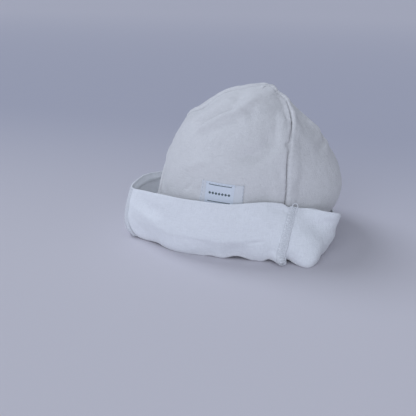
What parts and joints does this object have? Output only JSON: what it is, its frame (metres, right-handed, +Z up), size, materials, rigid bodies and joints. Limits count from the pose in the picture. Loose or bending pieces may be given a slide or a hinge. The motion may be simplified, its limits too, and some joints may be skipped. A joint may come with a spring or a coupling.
{
  "type": "sauna hat",
  "caption": "Soft white linen sauna hat of four gores, standing on its turned-up cuff, with overlocked seam allowances and a small sewn label above the rim.",
  "frame": {"origin": "middle of the bounding box in plan, on the surface that the hat stands on", "axes": "+Z up, -Y toward the front gore with the label, +X to the right as seen from the front"},
  "size_m": [0.2215, 0.1994, 0.1522],
  "materials": {
    "linen": "soft matt woven linen, optic white",
    "overlocked_edge": "matt linen edge under white overlock thread",
    "woven_label": "smooth satin weave"
  },
  "bodies": {
    "root": {"gore_front": "linen", "gore_right": "linen", "gore_back": "linen", "gore_left": "linen", "seam_allowance_front_right": "overlocked_edge", "seam_allowance_back_right": "overlocked_edge", "seam_allowance_back_left": "overlocked_edge", "seam_allowance_front_left": "overlocked_edge", "label": "woven_label"}
  },
  "joints": []
}
